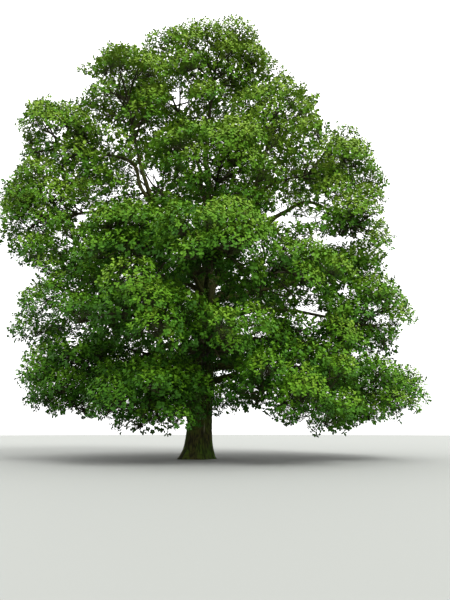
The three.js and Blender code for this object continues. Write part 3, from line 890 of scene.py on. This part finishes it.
def spray(seed, leaf):
    """Leaves that stand round a short twig along +Z, flatter the further down it they are."""
    random = np.random.default_rng(seed)
    corners, triangles = leaf
    parts = []
    for number in range(LEAVES_PER_SPRAY):
        level = number / (LEAVES_PER_SPRAY - 1)
        turn = number * GOLDEN_ANGLE + random.uniform(-TURN_SCATTER, TURN_SCATTER)
        spread = FIRST_SPREAD + (LAST_SPREAD - FIRST_SPREAD) * level
        spread += random.uniform(-SPREAD_SCATTER, SPREAD_SCATTER)
        outwards = np.array((math.cos(turn), math.sin(turn), 0))
        along = outwards * math.sin(spread) + UP * math.cos(spread)
        face_up = UP * math.sin(spread) - outwards * math.cos(spread)
        roll = random.uniform(-LEAF_ROLL, LEAF_ROLL)
        across = np.cross(along, face_up)
        side = across * math.cos(roll) + face_up * math.sin(roll)
        axes = np.array((side, along, np.cross(side, along)))
        size = LEAF_LENGTH * random.uniform(*LEAF_SIZE)
        parts.append((corners @ axes * size + UP * SPRAY_LENGTH * level, triangles))
    return joined(parts)


leaf = oak_leaf()
sprays = [spray(seed, leaf) for seed in range(SPRAY_KINDS)]
print("triangles in a leaf and a spray:", len(leaf[1]), len(sprays[0][1]))

# %% [markdown]
# A living leaf is a waxy skin over wet green tissue: a soft satin sheen of the sky over a green. The
# greens here are steps of painted light: yellower and lighter as painted highlight where the light
# falls, deeper as painted shade on the inner pads. Colours that have a place on the tree are dealt
# out by spray, one plain green each.

# %% Leaf materials
# Five steps of one leaf green, from painted deep shade through painted half light to the painted
# highlight on lit pad tops.
LEAF_GREENS = {
    "shade_leaf": 0x284F0B,
    "inner_leaf": 0x39640E,
    "crown_leaf": 0x4C7512,
    "sun_leaf": 0x597A18,
    "young_leaf": 0x6B8725,
}


def leaf_green(name, colour):
    """Waxy living leaf of one plain green."""
    material = bpy.data.materials.new(name)
    material.use_nodes = True
    wax = material.node_tree.nodes["Principled BSDF"].inputs
    wax["Base Color"].default_value = linear(colour)
    wax["Roughness"].default_value = 0.6
    wax["IOR"].default_value = 1.45
    wax["Specular IOR Level"].default_value = 0.15
    return material


leaf_materials = [leaf_green(name, colour) for name, colour in LEAF_GREENS.items()]
print("greens:", len(leaf_materials))

# %% [markdown]
# ## Growing a mass
# One stem enters the mass from its bough's tip and ends past its middle. Shoots leave the stem evenly
# to all sides in a spiral. So far this is the plain solids' rule. It is carried on: from the shoots,
# branchlets run to the edge of the crown, and each ends in a pad, a low dome of sprays that turns its
# back to the light. The pads are the rounded clumps that an oak's crown shows, light above and dark
# below.

# %% Shoots
STEM_REACH = 0.3                          # of the way from the mass's middle to its edge
STEM_TIP_SHARE = 0.7                      # of the radius at its foot
STEM_PULL = 0.3                           # of its span, for which it keeps its first heading
ROOT_BACK = 0.7                           # a shoot's foot on the stem, of its tip's place along it
FIRST_ROOT = 0.2                          # shares of the stem between which shoots leave
LAST_ROOT = 0.95
SHOOT_RADIUS = 0.068                      # metres
SHOOT_TIP_RADIUS = 0.032
SHOOT_CROOK = 0.08                        # of its length
SHOOT_PULL = 0.35
# How many shoots, and how far out of the mass they reach in turn.
DENSE_SHOOTS = (13, (0.62,))
AIRY_SHOOTS = (16, (0.35, 0.6))


def spiral_directions(mass, count, phase):
    """Directions that leave a mass's centre evenly to all sides."""
    number = np.arange(count)
    rise = 1 - (2 * number + 1) / count
    ring = np.sqrt(1 - rise ** 2)
    angle = number * GOLDEN_ANGLE + phase
    local = np.stack((ring * np.cos(angle), ring * np.sin(angle), rise), axis=1)
    return unit(local * mass.half_sizes @ mass.axes)


def soft_curves(starts, leaving, ends, arriving, pull):
    """Curves from start to end that leave and arrive along given directions."""
    reach = np.linalg.norm(ends - starts, axis=-1, keepdims=True) * pull
    return np.stack((starts, starts + leaving * reach, ends - arriving * reach, ends), axis=1)


def crooked(curves, crook, random):
    """The same curves with their middles pushed off by chance, in shares of their length."""
    length = np.linalg.norm(curves[:, 3] - curves[:, 0], axis=-1)
    pushed = curves.copy()
    pushed[:, 1:3] += random.normal(0, crook, (len(curves), 2, 3)) * length[:, None, None]
    return pushed


def grow_shoots(mass, random):
    """The mass's stem as one curve, and its shoots as many."""
    heart = mass.centre + mass.forward * STEM_REACH * mass.space_along(mass.forward)
    stem_length = np.linalg.norm(heart - mass.foot)
    count, tips = AIRY_SHOOTS if mass.name in AIRY_MASSES else DENSE_SHOOTS
    directions = spiral_directions(mass, count, mass.number)
    tip_share = np.resize(tips, count)
    ends = mass.centre + directions * (tip_share * mass.space_along(directions))[:, None]
    along = ROOT_BACK * (ends - mass.foot) @ mass.forward / stem_length
    root_share = np.clip(along, FIRST_ROOT, LAST_ROOT)
    starts = mass.foot + (heart - mass.foot) * root_share[:, None]
    leaving = unit(directions + mass.forward)
    forward = mass.forward[None]
    stem = soft_curves(mass.foot[None], forward, heart[None], forward, STEM_PULL)
    shoots = soft_curves(starts, leaving, ends, directions, SHOOT_PULL)
    return stem, crooked(shoots, SHOOT_CROOK, random)


# %% [markdown]
# Neighbouring masses run together in a real crown. So the leaves' outer face is a blend of all the
# ellipsoids, which fills the creases between them, and it swells and sinks a little. A pad is an
# outer one if only air lies ahead of it. The others are deep in the shade, with fewer and larger
# leaves, as an oak's shade leaves are, and they close the crown against the sky.

# %% The crown's outer face
# Where the leaves' outer face lies in the blend, at the ground and at the height of the top.
FACE_SHARE = (0.935, 0.82)
BLEND = 2.8                               # higher keeps more of the creases
TREE_HEIGHT = 25.6                        # metres, as the lengths that follow
LUMP_SIZE = 2.4
LUMP_DEPTH = 2.6
LUMP_TOP = 0.1                            # of the noise at most, so it swells less than it sinks
FARTHEST = 1.5                            # of a mass's half sizes, past its outer face
HALVINGS = 12                             # of the stretch in which that face is searched for

mass_centres = np.array([mass.centre for mass in masses.values()])
mass_frames = np.array([mass.axes / mass.half_sizes[:, None] for mass in masses.values()])


def crown_share(points):
    """How far out each point lies in the blended crown: 1 is on a lone mass's ellipsoid."""
    offsets = points[:, None] - mass_centres
    shares = np.linalg.norm(np.einsum("pmk,mjk->pmj", offsets, mass_frames), axis=-1)
    return -np.log(np.exp(-BLEND * shares).sum(axis=1)) / BLEND


def past_face(points):
    """How far past the leaves' outer face each point lies, in shares: less than 0 is inside."""
    low, high = FACE_SHARE
    return crown_share(points) - low - (high - low) * points[:, 2] / TREE_HEIGHT


def crown_reach(mass, directions):
    """How far straight lines from a mass's centre run to the crown's outer face."""
    near = np.zeros(len(directions))
    far = FARTHEST * mass.round_reach(directions)
    for _ in range(HALVINGS):
        halfway = (near + far) / 2
        inside = past_face(mass.centre + directions * halfway[:, None]) < 0
        near = np.where(inside, halfway, near)
        far = np.where(inside, far, halfway)
    places = mass.centre + directions * near[:, None]
    lumps = np.array([noise.noise(Vector(place / LUMP_SIZE)) for place in places])
    return near + LUMP_DEPTH * np.minimum(lumps, LUMP_TOP)


# %% Pads and branchlets
# How far ahead of a pad air is looked for, in metres.
LOOK_AHEAD = np.array((1.5, 3.0, 4.5, 6.0, 8.0))
PAD_SHARE = 0.89                          # of a mass's half sizes, where its pads are counted
PAD_SPACING = 1.5                         # metres between the middles of neighbouring pads
PAD_RADIUS = (0.65, 1.2)                  # metres
PAD_DEPTH = (0.6, 1.9)                    # how far its middle lies inside the outer face, in radii
PAD_JITTER = 0.08                         # in its direction from the mass's middle
PAD_LEAN = 0.55                           # how much its back leans outwards, against straight up
BACK_JITTER = 0.15
CHANCE_INSIDE = (0.52, 0.45)              # that an inner pad grows, low and high in the crown
HIGH_CROWN = 14.0                         # metres up, where the high crown begins
UNDERSIDE = -0.4                          # a pad that faces down more than this may be left out
CHANCE_BELOW = 0.85                       # that such a pad grows
PAD_EDGE = 0.95                           # of a sky opening or notch, where pads begin
BRANCHLET_RADIUS = 0.03                   # metres
BRANCHLET_TIP_RADIUS = 0.012
BRANCHLET_CROOK = 0.1                     # of its length
BRANCHLET_PULL = 0.3
BRANCHLET_ROOT = (0.5, 0.95)              # share of the shoot that bears branchlets
ARRIVAL = (0.5, 1.5)                      # weights of the pad's back and of the straight way to it


def ellipsoid_area(half_sizes):
    """The surface of an ellipsoid, by the usual close formula."""
    power = 1.6075
    a, b, c = half_sizes ** power
    return 4 * math.pi * ((a * b + a * c + b * c) / 3) ** (1 / power)


def low_or_high(values, points):
    """The first of two values for each point low in the crown, and the second for each high one."""
    return np.where(points[:, 2] > HIGH_CROWN, values[1], values[0])


def open_ahead(points, headings):
    """Whether only air lies ahead of each point along its heading."""
    ahead = points[:, None] + headings[:, None] * LOOK_AHEAD[:, None]
    return (past_face(ahead.reshape(-1, 3)) > 0).reshape(len(points), -1).all(axis=1)


def place_pads(mass, random):
    """Each pad's middle, back, radius and direction from the mass's centre, and whether it is inner."""
    count = round(ellipsoid_area(PAD_SHARE * mass.half_sizes) / PAD_SPACING ** 2)
    directions = spiral_directions(mass, count, mass.number)
    directions = unit(directions + random.normal(0, PAD_JITTER, directions.shape))
    radii = random.uniform(*PAD_RADIUS, count)
    reach = np.minimum(crown_reach(mass, directions), mass.wall_reach(directions))
    depth = radii * random.uniform(*PAD_DEPTH, count)
    middles = mass.centre + directions * (reach - depth)[:, None]
    outwards = unit(middles * (1, 1, 0))
    inner = ~(open_ahead(middles, directions) | open_ahead(middles, outwards)
              | open_ahead(middles, unit(outwards + UP)))
    chance_outside = np.where(directions[:, 2] < UNDERSIDE, CHANCE_BELOW, 1.0)
    chance = np.where(inner, low_or_high(CHANCE_INSIDE, middles), chance_outside)
    kept = (random.random(count) < chance) & clear_of_sky(middles, PAD_EDGE, PAD_EDGE)
    backs = unit(PAD_LEAN * directions + UP + random.normal(0, BACK_JITTER, directions.shape))
    return [part[kept] for part in (middles, backs, radii, directions, inner)]


def grow_branchlets(shoots, middles, backs, random):
    """A curve from a point on the nearest shoot to the hub under each pad."""
    shares = random.uniform(*BRANCHLET_ROOT, len(middles))
    shoot_ends = shoots[:, 3]
    nearest = np.linalg.norm(middles[:, None] - shoot_ends, axis=-1).argmin(axis=1)
    chosen = shoots[nearest]
    roots = np.array([curve_points(curve, share) for curve, share in zip(chosen, shares)])
    headings = np.array([curve_headings(curve, share) for curve, share in zip(chosen, shares)])
    straight = unit(middles - roots)
    leaving = unit(headings + straight)
    arriving = unit(ARRIVAL[0] * backs + ARRIVAL[1] * straight)
    curves = soft_curves(roots, leaving, middles, arriving, BRANCHLET_PULL)
    return crooked(curves, BRANCHLET_CROOK, random)


# %% [markdown]
# A pad's sprays are laid out over its dome by the golden angle, as seeds are on a sunflower, which
# covers it evenly with no rows. Each stands square to the dome, turned up a little towards the light.
# A spray that would leave the mass's space or close a sky opening or a notch is left out.

# %% Sprays of a pad
SPRAYS_PER_PAD = (51, 52)                 # on a pad of the usual radius, low and high in the crown
USUAL_RADIUS = 0.9                        # metres
INNER_SHARE = (0.48, 0.38)                # of the sprays that an outer pad has
INNER_SIZE = 1.25                         # times the size of an outer pad's leaves
DOME_HEIGHT = 0.7                         # of its radius
DOME_END = -0.05                          # cosine of the angle where the dome's rim ends
SPRAY_JITTER = (0.82, 1.08)               # of the dome's radius
LIGHT_SEEKING = 0.5                       # how much a spray turns up from square to the dome
AXIS_JITTER = 0.18
SPRAY_SIZE = (0.85, 1.15)                 # of the spray that is copied
SIZE_BY_HEIGHT = (1.0, 1.07)              # times that, low and high in the crown
RAGGED_EDGE = (0.4, 1.25)                 # of a sky opening, where leaves begin
NOTCH_EDGE = (0.78, 1.08)                 # of a notch
OVER_THE_WALL = 0.4                       # metres past the mass's walls that leaves may stand
FACE_FRINGE = 0.05                        # how far past the outer face leaves may stand, in shares


def spray_places(mass, middles, backs, radii, inner, random):
    """For each spray: its foot, its axis, the pad that it belongs to and how high it is on it."""
    share = np.where(inner, low_or_high(INNER_SHARE, middles), 1.0)
    usual = low_or_high(SPRAYS_PER_PAD, middles) * share
    counts = np.round(usual * (radii / USUAL_RADIUS) ** 2).astype(int)
    pad = np.repeat(np.arange(len(middles)), counts)
    number = np.arange(len(pad)) - np.repeat(np.cumsum(counts) - counts, counts)
    high = 1 - (1 - DOME_END) * (number + 0.5) / counts[pad]
    ring = np.sqrt(1 - high ** 2)
    angle = number * GOLDEN_ANGLE + pad
    side = square_to(backs)[pad]
    back = backs[pad]
    over = np.cross(back, side)
    round_part = side * (ring * np.cos(angle))[:, None] + over * (ring * np.sin(angle))[:, None]
    size = (radii[pad] * random.uniform(*SPRAY_JITTER, len(pad)))[:, None]
    feet = middles[pad] + size * (round_part + back * DOME_HEIGHT * high[:, None])
    axes = round_part + back * (high / DOME_HEIGHT)[:, None] + LIGHT_SEEKING * UP
    axes = unit(axes + random.normal(0, AXIS_JITTER, axes.shape))
    inside = (mass.past_walls(feet) < OVER_THE_WALL) & (past_face(feet) < FACE_FRINGE)
    chance = random.random(len(feet))
    opening_edge, notch_edge = (np.interp(chance, (0, 1), edge) for edge in (RAGGED_EDGE, NOTCH_EDGE))
    kept = inside & clear_of_sky(feet, opening_edge, notch_edge)
    return feet[kept], axes[kept], pad[kept], high[kept]


def place_sprays(feet, axes, kinds, turns, sizes, tones):
    """Copies of the spray templates at all the places, and each triangle's green."""
    side = square_to(axes)
    over = np.cross(axes, side)
    across = side * np.cos(turns)[:, None] + over * np.sin(turns)[:, None]
    frames = np.stack((across, np.cross(axes, across), axes), axis=1) * sizes[:, None, None]
    parts, greens = [], []
    for kind, (corners, triangles) in enumerate(sprays):
        chosen = np.flatnonzero(kinds == kind)
        placed = corners @ frames[chosen] + feet[chosen][:, None]
        starts = np.arange(len(chosen)) * len(corners)
        parts.append((placed.reshape(-1, 3), (triangles + starts[:, None, None]).reshape(-1, 3)))
        greens.append(np.repeat(tones[chosen], len(triangles)))
    return *joined(parts), np.concatenate(greens)


# %% [markdown]
# Now every mass is grown, leaves and twigs as two pieces. A spray's green is painted light and shade:
# lighter high on its pad, high in the crown, on the right and facing right or up, darker on inner
# pads, with some chance, so that neighbours differ.

# %% Wood of a mass
TWIG_RADIUS = 0.007                       # metres
TWIG_ROOT = (0.7, 1.0)                    # share of the branchlet that bears twigs
TWIG_PULL = 0.33


def grow_wood(mass, stem, shoots, branchlets, feet, axes, pad, random):
    """All the mass's wood, from its stem to a twig for each spray, as corners and triangles."""
    root_share = random.uniform(*TWIG_ROOT, len(feet))
    roots = np.array([curve_points(branchlets[p], share) for p, share in zip(pad, root_share)])
    twigs = soft_curves(roots, unit(feet - roots), feet, axes, TWIG_PULL)
    used = branchlets[np.unique(pad)]
    return joined((
        bent_rods(stem_rod, stem, mass.stem_radius, mass.stem_radius * STEM_TIP_SHARE),
        bent_rods(shoot_rod, shoots, SHOOT_RADIUS, SHOOT_TIP_RADIUS),
        bent_rods(branchlet_rod, used, BRANCHLET_RADIUS, BRANCHLET_TIP_RADIUS),
        bent_rods(twig_point, twigs, TWIG_RADIUS, 0),
    ))


# %% Greens of a mass
# Steps of painted light and shade in the greens of the sprays.
RIM_LIGHT = 1.1                           # step of green at a pad's rim, from 0 for the darkest
TOP_LIGHT = 2.3                           # steps that its top is lighter
TONE_SCATTER = 0.25                       # steps from spray to spray
PAD_SCATTER = 0.25                        # steps from pad to pad
INNER_SHADE = (0.7, 0.3)                  # steps of green that an inner pad is darker
SUNNY_SIDE = (0.35, 0.0, 0.4)             # steps lighter to the right, away from the eye and up
HEIGHT_LIGHT = 0.12                       # steps of green per metre above the crown's middle
MIDDLE_HEIGHT = 11.0
RIGHT_LIGHT = 0.05                        # steps per metre to the right of the trunk


def deal_greens(middles, facing, inner, pad, high, random):
    """The number of each spray's green: a step of painted light and shade."""
    pad_light = random.normal(0, PAD_SCATTER, len(middles)) + facing @ SUNNY_SIDE
    pad_light -= low_or_high(INNER_SHADE, middles) * inner
    pad_light += HEIGHT_LIGHT * (middles[:, 2] - MIDDLE_HEIGHT)
    pad_light += RIGHT_LIGHT * np.maximum(middles[:, 0], 0)
    light = RIM_LIGHT + TOP_LIGHT * high + pad_light[pad] + random.normal(0, TONE_SCATTER, len(pad))
    return np.clip(np.round(light), 0, len(leaf_materials) - 1).astype(int)


# %% Grow every mass
HUB_DEPTH = 0.3                           # of a pad's radius, from its middle down to its hub

total_leaves = 0
total_triangles = 0
outer_pads = 0
inner_pads = 0
for mass in masses.values():
    random = np.random.default_rng(mass.number)
    stem, shoots = grow_shoots(mass, random)
    middles, backs, radii, facing, inner = place_pads(mass, random)
    hubs = middles - backs * (radii * HUB_DEPTH)[:, None]
    branchlets = grow_branchlets(shoots, hubs, backs, random)
    feet, axes, pad, high = spray_places(mass, middles, backs, radii, inner, random)
    wood = grow_wood(mass, stem, shoots, branchlets, feet, axes, pad, random)
    node = f"{mass.name}_foliage"
    array_piece(f"{mass.name}_twigs", *wood, [twig_bark], 0, "bark", node)

    count = len(feet)
    tones = deal_greens(middles, facing, inner, pad, high, random)
    sizes = random.uniform(*SPRAY_SIZE, count) * low_or_high(SIZE_BY_HEIGHT, feet)
    sizes *= np.where(inner[pad], INNER_SIZE, 1.0)
    kinds = random.integers(0, SPRAY_KINDS, count)
    turns = random.uniform(0, 2 * math.pi, count)
    corners, triangles, greens = place_sprays(feet, axes, kinds, turns, sizes, tones)
    array_piece(f"{mass.name}_leaves", corners, triangles, leaf_materials, greens, "leaves", node)
    total_leaves += count * LEAVES_PER_SPRAY
    total_triangles += len(triangles) + len(wood[1])
    outer_pads += int((~inner).sum())
    inner_pads += int(inner.sum())
    print(mass.name, "pads", len(middles), "sprays", count, "leaf triangles", len(triangles))
print("outer and inner pads:", outer_pads, inner_pads)
print("leaves:", total_leaves, "triangles of foliage:", total_triangles)
